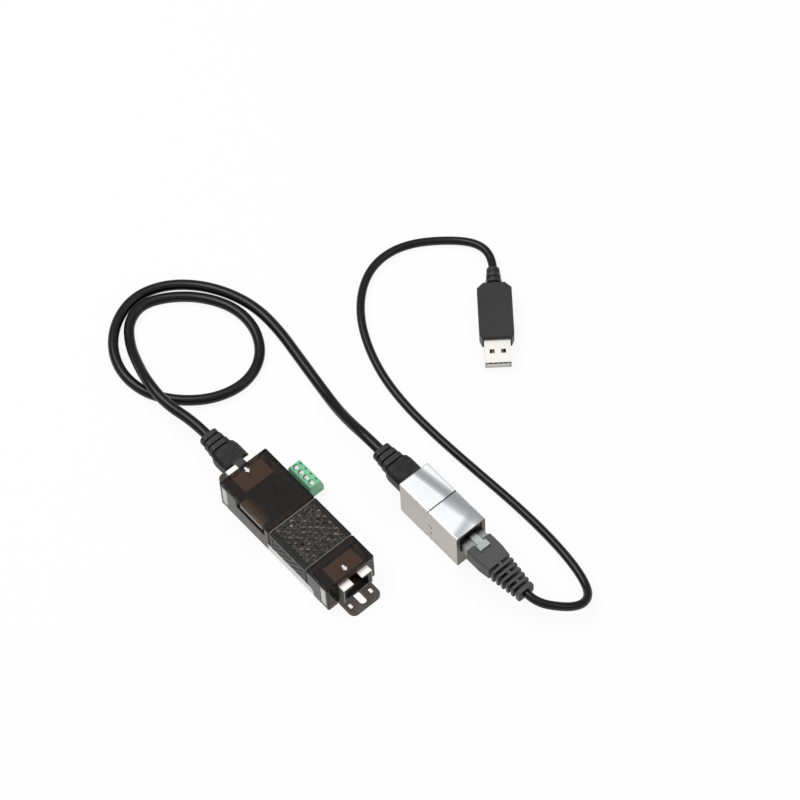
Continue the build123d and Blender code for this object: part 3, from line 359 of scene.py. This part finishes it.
def vent_look(name):
    """Dark moulded grille with painted highlights: pale painted specks on its hole walls and fine ones
    on the lattice top, and painted highlight lines along the edges at its seams.
    """
    look = Look(name)
    place = look.parts("Object")
    aside = look.magnitude(place["Y"])
    high = look.above(place["Z"], VENT_SKIN_Z * MM)
    upright = look.below(look.magnitude(look.parts("Normal")["Z"]), LEVEL)
    wall = look.both(look.both(high, look.below(aside, VENT_INNER_Y * MM)), upright)
    lattice = look.both(look.below(aside, LATTICE_Y * MM), high)
    far_edge_highlight = look.both(look.below(place["X"], VENT_FAR_EDGE_X * MM), high)
    near_edge_highlight = look.both(look.above(place["X"], VENT_NEAR_EDGE_X * MM), high)
    body = look.drift((0.008, 0.0075, 0.007), (0.012, 0.0115, 0.0105))
    # painted highlight: fine pale specks over the lattice top, for glints at the hole edges
    lattice_painted_specks = look.ramp(look.noise(900, 2), [
        (0.36, (0.006, 0.0055, 0.005)), (0.5, (0.02, 0.018, 0.017)), (0.64, (0.07, 0.064, 0.06)),
    ])
    # painted highlight: pale specks on the hole walls
    painted_speck = look.ramp(look.noise(420, 2), [(0.38, (0.1, 0.09, 0.085)), (0.6, (0.9, 0.85, 0.8))])
    colour = look.tint(wall, look.tint(lattice, body, lattice_painted_specks), painted_speck)
    # painted highlight lines along the far and near seam edges
    colour = look.tint(far_edge_highlight, colour, (0.19, 0.185, 0.175))
    colour = look.tint(near_edge_highlight, colour, (0.2, 0.195, 0.185))
    shader = look.principled(Base_Color=colour, Roughness=look.patchy(0.25, 0.4), IOR=1.42,
                             Specular_IOR_Level=0.28)
    look.roughen(shader, look.noise(600, 4), 0.01, 0.5)
    return look.surface(shader)


def boot_look(name, rib_x):
    """Black rubber boot: a faintly mottled block, its ribs with a painted highlight on their outer
    faces and painted shade on the faces between them.
    """
    look = Look(name)
    ribs = look.below(look.parts("Object")["X"], rib_x * MM)
    between = look.above(look.magnitude(look.parts("Normal")["X"]), FACING)
    block = look.ramp(look.noise(350), [(0.35, grey(0.003)), (0.65, grey(0.02))])
    # painted highlight on the rib tops, painted shade on the rib flanks
    colour = look.tint(ribs, block, look.tint(between, grey(0.03), grey(0.004)))
    shader = look.principled(Base_Color=colour, Roughness=look.patchy(0.4, 0.55),
                             Specular_IOR_Level=0.28)
    look.roughen(shader, look.noise(900, 4), 0.02, 0.6)
    return look.surface(shader)


def grey_boot_look(name, axis_y, axis_z, core_reach, rib_x):
    """Grey rubber boot with painted shade in the gaps between its ribs."""
    look = Look(name)
    place = look.parts("Object")
    from_axis = look.math("MAXIMUM", look.away(place["Y"], axis_y * MM),
                          look.away(place["Z"], axis_z * MM))
    core = look.below(from_axis, core_reach * MM)
    upright = look.above(look.magnitude(look.parts("Normal")["X"]), FACING)
    ribbed = look.above(place["X"], rib_x * MM)
    # painted shade: near black in the rib gaps and on the rib flanks
    gap = look.both(look.math("MAXIMUM", core, upright), ribbed)
    body = look.drift((0.05, 0.05, 0.051), (0.066, 0.066, 0.068))
    colour = look.tint(gap, body, grey(0.003))
    shader = look.principled(Base_Color=colour, Roughness=look.patchy(0.42, 0.6))
    look.roughen(shader, look.noise(900, 4), 0.02, 0.6)
    return look.surface(shader)


def terminal_look(name, shade_y, shade_width):
    """Green moulding with painted shade along the edge by the case."""
    look = Look(name)
    body = look.drift((0.15, 0.52, 0.27), (0.2, 0.62, 0.33))
    # painted shade: dark green that fades into the body colour away from the case
    dark = look.drift((0.03, 0.14, 0.07), (0.05, 0.19, 0.1))
    along = look.parts("Object")["Y"]
    clear_of_case = look.range(along, 0, 1, shade_y * MM, (shade_y + shade_width) * MM)
    shader = look.principled(Base_Color=look.tint(clear_of_case, dark, body),
                             Roughness=look.patchy(0.34, 0.48), Coat_Weight=0.2, Coat_Roughness=0.15)
    look.roughen(shader, look.noise(900, 4), 0.01, 0.6)
    return look.surface(shader)


def screw_look(name, first_x, pitch, bright_y, bright_radius):
    """Terminal screws: bright heads with a painted shadow, a dark green crescent on the side by the
    case.
    """
    look = Look(name)
    place = look.parts("Object")
    along = look.math("SUBTRACT", place["X"], (first_x - pitch / 2) * MM)
    aside = look.math("SUBTRACT", look.math("MODULO", along, pitch * MM), pitch / 2 * MM)
    across = look.math("SUBTRACT", place["Y"], bright_y * MM)
    squared = look.math("ADD", look.both(aside, aside), look.both(across, across))
    # painted shadow: dark green outside a circle set off from the case side of each head
    outer = look.above(squared, (bright_radius * MM) ** 2)
    head = look.drift((0.5, 0.53, 0.5), (0.62, 0.65, 0.62), 45)
    streak = look.noise(500, roughness=0.6)
    shader = look.principled(Base_Color=look.tint(outer, head, (0.02, 0.08, 0.045)), Metallic=0.9,
                             Roughness=look.range(streak, 0.22, 0.36))
    look.roughen(shader, streak, 0.004, 0.4)
    return look.surface(shader)


def insert_look(name, lip_z):
    """Black socket insert whose lower front lip is painted pale grey, a painted highlight."""
    look = Look(name)
    low = look.below(look.parts("Object")["Z"], lip_z * MM)
    front = look.above(look.parts("Normal")["X"], FACING)
    body = look.drift((0.012, 0.012, 0.013), (0.02, 0.02, 0.021))
    # painted highlight: pale grey on the lower front lip
    colour = look.tint(look.both(low, front), body, (0.17, 0.17, 0.16))
    shader = look.principled(Base_Color=colour, Roughness=look.patchy(0.3, 0.42))
    look.roughen(shader, look.noise(900, 4), 0.01, 0.6)
    return look.surface(shader)


def bank_look(name, pale_y, plain_y):
    """Grey switch bank, its top painted paler along the window's side, painted light from the window.
    """
    look = Look(name)
    # painted light: the top grows pale towards the window's side
    outward = look.range(look.parts("Object")["Y"], 1, 0, pale_y * MM, plain_y * MM)
    top = look.above(look.parts("Normal")["Z"], LEVEL)
    body = look.drift((0.2, 0.2, 0.2), (0.27, 0.27, 0.26))
    colour = look.tint(look.both(outward, top), body, (0.92, 0.92, 0.9))
    shader = look.principled(Base_Color=colour, Roughness=look.patchy(0.38, 0.54))
    look.roughen(shader, look.noise(900, 4), 0.01, 0.6)
    return look.surface(shader)


def board_look(name):
    """Solder mask with faint tracks."""
    look = Look(name)
    cells = look.add("TexBrick", {
        "Vector": look.coordinates(), "Scale": 300.0, "Mortar Size": 0.05,
        "Color1": (0.006, 0.034, 0.015), "Color2": (0.007, 0.04, 0.018), "Mortar": (0.015, 0.07, 0.03),
    })
    gloss = look.patchy(0.25, 0.4, 200)
    return look.surface(look.principled(Base_Color=cells.outputs["Color"], Roughness=gloss))


def cord_look(name):
    """Extruded jacket: glossy black with faint unevenness."""
    look = Look(name)
    colour = look.ramp(look.noise(120), [(0.3, grey(0.0015)), (0.7, grey(0.0035))])
    shader = look.principled(Base_Color=colour, Roughness=look.patchy(0.18, 0.25, 300),
                             Specular_IOR_Level=0.32)
    look.roughen(shader, look.noise(700), 0.02, 0.4)
    return look.surface(shader)


black, soft_black = (0.012, 0.012, 0.013), (0.02, 0.02, 0.021)
slot_looks = {
    "smoked_plastic": smoked_shell("smoked_plastic", 0.14, (0.345, 0.213, 0.1), 1400.0),
    "tinned_steel": shield_look("tinned_steel"),
    "coupler_steel": coupler_look("coupler_steel", 50.9, 0.125, 3.1, 1.45),
    "black_plastic": grained_plastic("black_plastic", black, soft_black, 0.35, 0.01),
    "board_green": board_look("board_green"),
    "capacitor_can": bright_metal("capacitor_can", (0.3, 0.3, 0.31), (0.38, 0.38, 0.39), 0.3),
    # painted shade: the gold contacts are darkened to a brownish gold for the shade inside the sockets
    "gold_contact": bright_metal("gold_contact", (0.13, 0.088, 0.036), (0.19, 0.13, 0.058), 0.35),
    "clamp_steel": bright_metal("clamp_steel", (0.55, 0.55, 0.53), (0.68, 0.68, 0.66), 0.28),
    "clear_plastic": plug_look("clear_plastic", mouth_x=58.5, clear_x=60.0),
    "black_rubber": grained_plastic("black_rubber", grey(0.009), grey(0.014), 0.45, 0.02),
    "grey_rubber": grey_boot_look("grey_rubber", 51.35, 14.3, core_reach=2.6, rib_x=77.3),
    "usb_plastic": grained_plastic("usb_plastic", black, soft_black, 0.4, 0.015),
    "white_plastic": grained_plastic("white_plastic", (0.8, 0.8, 0.79), (0.88, 0.88, 0.87), 0.45, 0.01),
}
header_dark, header_light = (0.02, 0.065, 0.035), (0.028, 0.085, 0.045)
node_looks = {
    "terminal_header": grained_plastic("header_green", header_dark, header_light, 0.45, 0.01),
    "vent_cover": vent_look("smoked_vent"),
    "base_plate": base_look("smoked_base", finger_y=13.25, finger_z=2.1),
    "switch_bank": bank_look("switch_grey", pale_y=-10.6, plain_y=-7.8),
    "terminal_plug": terminal_look("terminal_green", shade_y=16.7, shade_width=0.9),
    "terminal_screws": screw_look("terminal_screw_steel", first_x=-23.25, pitch=3.5, bright_y=19.55,
                                  bright_radius=1.2),
    "sensor_socket_insert": insert_look("socket_insert_black", lip_z=5.0),
    "coupler_adapter_shell": coupler_look("coupler_near_steel", 49.1, 0.18, 6.5, 3.4, near_half=True),
    "patch_pod_boot": boot_look("pod_boot_rubber", rib_x=-52.9),
    "patch_coupler_boot": boot_look("coupler_boot_rubber", rib_x=7.7),
}

for row in frame["record"]["subparts"]:
    node, slot = row["node"], row["material_slot"]
    piece_materials = nodes[node].data.materials
    piece_materials.clear()
    piece_materials.append(node_looks[node] if node in node_looks else slot_looks[slot])


def new_piece(name, corners, faces, material):
    """Mesh piece in the object's frame, sizes in millimetres, that rides on the object."""
    mesh = bpy.data.meshes.new(name)
    mesh.from_pydata([Vector(corner) * MM for corner in corners], [], faces)
    mesh.validate()
    mesh.materials.append(material)
    piece = bpy.data.objects.new(name, mesh)
    scene.collection.objects.link(piece)
    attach(piece, "root")


def slab(name, outline, lift, material):
    """Thin slab from a flat outline, raised along a small vector."""
    count = len(outline)
    top = [tuple(Vector(point) + Vector(lift)) for point in outline]
    faces = [tuple(range(count)), tuple(range(2 * count - 1, count - 1, -1))]
    faces += [(i, count + i, count + (i + 1) % count, (i + 1) % count) for i in range(count)]
    new_piece(name, outline + top, faces, material)


case_low, case_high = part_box("sensor_cover")
side_y = case_low.y / MM
top_z = case_high.z / MM

# Bare white label low on the switch side, its near end rounded
label_start, label_end, label_low, label_high = -4.0, 27.0, 0.3, 5.3
label_round, label_steps, label_thickness = 2.2, 8, 0.1
outline = [(label_start, side_y, label_low), (label_start, side_y, label_high)]
for step in range(label_steps + 1):
    angle = radians(90 - 90 / label_steps * step)
    outline.append((label_end - label_round + label_round * cos(angle), side_y,
                    label_high - label_round + label_round * sin(angle)))
outline.append((label_end, side_y, label_low))
slab("side_label", outline, (0, -label_thickness, 0), slot_looks["white_plastic"])

# Plain arrows printed on the top, one by each socket
arrow_length, head_from, shaft_half, head_half, print_thickness = 3.2, 1.6, 0.55, 1.25, 0.04
arrow = [
    (0, -shaft_half), (head_from, -shaft_half), (head_from, -head_half), (arrow_length, 0),
    (head_from, head_half), (head_from, shaft_half), (0, shaft_half),
]
print_white = grained_plastic("print_white", (0.72, 0.74, 0.76), (0.82, 0.84, 0.86), 0.5)
for name, tail_x in (("inlet_arrow", -35.1), ("outlet_arrow", 31.4)):
    outline = [(tail_x + along, across, top_z) for along, across in arrow]
    slab(name, outline, (0, 0, print_thickness), print_white)


def cord(name, route, diameter, material):
    """Smooth round cord with the route's points as the control points of one spline."""
    curve = bpy.data.curves.new(name, "CURVE")
    curve.dimensions = "3D"
    curve.bevel_depth = diameter / 2 * MM
    curve.bevel_resolution = 6
    curve.resolution_u = 12
    curve.use_fill_caps = True
    spline = curve.splines.new("NURBS")
    spline.points.add(len(route) - 1)
    for point, (x, y, z) in zip(spline.points, route):
        point.co = (x * MM, y * MM, z * MM, 1)
    spline.order_u = 3
    spline.use_endpoint_u = True
    curve.materials.append(material)
    piece = bpy.data.objects.new(name, curve)
    scene.collection.objects.link(piece)
    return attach(piece, "root")


# Routes, in millimetres: straight out of each boot, down to the floor and along the photographed path
patch_diameter, adapter_diameter = 5.0, 4.0
patch_route = [
    (-63, 1, 8.35), (-73, 1, 8.35), (-88, -3, 10.2), (-102.5, -2, 10.6), (-115.8, 2.2, 6.2),
    (-128, 7, 2.6), (-138.4, 14.4, 2.5), (-142, 25.4, 2.5), (-136.2, 37.8, 2.5), (-125.8, 48.7, 2.5),
    (-111.5, 56, 2.5), (-96, 55.8, 2.5), (-82.6, 48, 2.5), (-76.2, 34.5, 2.5), (-78.8, 19, 2.5),
    (-88.4, 5.6, 2.5), (-102.2, -3.8, 2.5), (-117.8, -5.7, 2.5), (-132.2, -0.4, 2.5),
    (-142.9, 10.8, 2.5), (-147.5, 25, 2.5), (-143.4, 39.2, 2.5), (-133.6, 50.6, 2.5), (-120, 59, 2.5),
    (-104.2, 63.4, 2.5), (-87.5, 63, 2.5), (-70, 60.2, 2.5), (-52.5, 57.4, 2.8), (-37, 54.4, 5.4),
    (-24, 52.2, 10.6), (-12.4, 51.35, 14.3), (-2.4, 51.35, 14.3),
]
adapter_route = [
    (93.8, 51.35, 14.3), (97.8, 51.35, 14.3), (102.9, 53.8, 13.4), (107, 58.5, 11.2),
    (110.1, 63.9, 8.4), (111, 69.5, 5.8), (108.8, 74.4, 3.6), (104, 77.6, 2.3), (95.8, 80, 2),
    (83.6, 81.6, 2), (68, 82.3, 2), (51, 82, 2), (34, 81, 2), (16, 80, 2), (-2, 79.4, 2),
    (-20, 79.8, 2), (-37.4, 82.2, 2), (-53.8, 87.4, 2), (-68.6, 95.2, 2), (-79.8, 105.6, 2),
    (-86.4, 117.6, 2), (-87.2, 129.8, 2), (-83.4, 140.8, 2), (-76.5, 150.6, 2), (-68.8, 158.4, 2.4),
    (-62.3, 161.9, 3.2), (-56, 162.4, 3.8), (-49.664, 159.943, 4), (-46.4, 157.3, 4),
]
jacket = cord_look("cord_jacket")
patch_cord = cord("patch_lead", patch_route, patch_diameter, jacket)
adapter_cord = cord("adapter_lead", adapter_route, adapter_diameter, jacket)
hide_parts("patch_cord")
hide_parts("adapter_cord")
plug_ends = ("patch_pod_", "patch_coupler_", "adapter_")
coupler_parts = ("device_shell", "adapter_shell", "insert", "contacts")
patch_pieces = [nodes[end + part] for end in plug_ends for part in ("plug", "contacts", "boot")]
patch_pieces += [nodes["coupler_" + part] for part in coupler_parts]

# Floor: near white to the camera and through clear plastic, greyer in reflections, a faint shadow
floor_reach, floor_drop = 3.0, 0.0002
seen_share, mirrored_share = 0.9, 0.5
corners = [(x * floor_reach, y * floor_reach, 0) for x, y in ((-1, -1), (1, -1), (1, 1), (-1, 1))]
floor_mesh = bpy.data.meshes.new("floor")
floor_mesh.from_pydata(corners, [], [(0, 1, 2, 3)])
floor = bpy.data.objects.new("floor", floor_mesh)
floor.location.z = -floor_drop
scene.collection.objects.link(floor)
floor_look = Look("floor")
path = floor_look.add("LightPath").outputs
seen = floor_look.math("MAXIMUM", path["Is Camera Ray"], path["Is Transmission Ray"])
seen = floor_look.math("MULTIPLY", seen, seen_share)
mirrored = floor_look.math("MULTIPLY", path["Is Glossy Ray"], mirrored_share)
glow_share = floor_look.math("MAXIMUM", seen, mirrored)
matt = floor_look.add("BsdfDiffuse", {"Color": grey(0.9)}).outputs["BSDF"]
glow = floor_look.add("Emission", {"Color": grey(1), "Strength": 1.0}).outputs["Emission"]
floor_mesh.materials.append(floor_look.surface(floor_look.blend(glow_share, matt, glow)))

# World: soft overhead light that falls off towards the horizon, white where the camera sees it
world = bpy.data.worlds.new("world")
scene.world = world
world.use_nodes = True
sky = world.node_tree
background = sky.nodes["Background"]
height = sky.nodes.new("ShaderNodeSeparateXYZ")
sky.links.new(sky.nodes.new("ShaderNodeTexCoord").outputs["Generated"], height.inputs["Vector"])
falloff = sky.nodes.new("ShaderNodeValToRGB")
set_stops(falloff, [(0.0, grey(0.35)), (0.7, grey(0.5)), (1.0, grey(1))])
sky.links.new(height.outputs["Z"], falloff.inputs["Fac"])
sky.links.new(falloff.outputs["Color"], background.inputs["Color"])
plain = sky.nodes.new("ShaderNodeBackground")
plain.inputs["Color"].default_value = (1, 1, 1, 1)
choose = sky.nodes.new("ShaderNodeMixShader")
camera_ray = sky.nodes.new("ShaderNodeLightPath").outputs["Is Camera Ray"]
sky.links.new(camera_ray, choose.inputs["Fac"])
sky.links.new(background.outputs["Background"], choose.inputs[1])
sky.links.new(plain.outputs["Background"], choose.inputs[2])
sky.links.new(choose.outputs["Shader"], sky.nodes["World Output"].inputs["Surface"])


def area_lamp(name, direction, distance, size, power):
    """Soft square lamp that looks at the frame's origin, under the pod."""
    data = bpy.data.lights.new(name, "AREA")
    data.size = size
    data.energy = power
    lamp = bpy.data.objects.new(name, data)
    scene.collection.objects.link(lamp)
    toward = Vector(direction).normalized()
    turn = toward.to_track_quat("Z", "Y").to_matrix().to_4x4()
    lamp.matrix_world = Matrix.Translation(toward * distance) @ turn


area_lamp("key", (-0.5, -0.2, 1.0), distance=1.2, size=0.8, power=7)
area_lamp("fill", (0.7, 0.6, 0.8), distance=1.4, size=0.8, power=1.5)
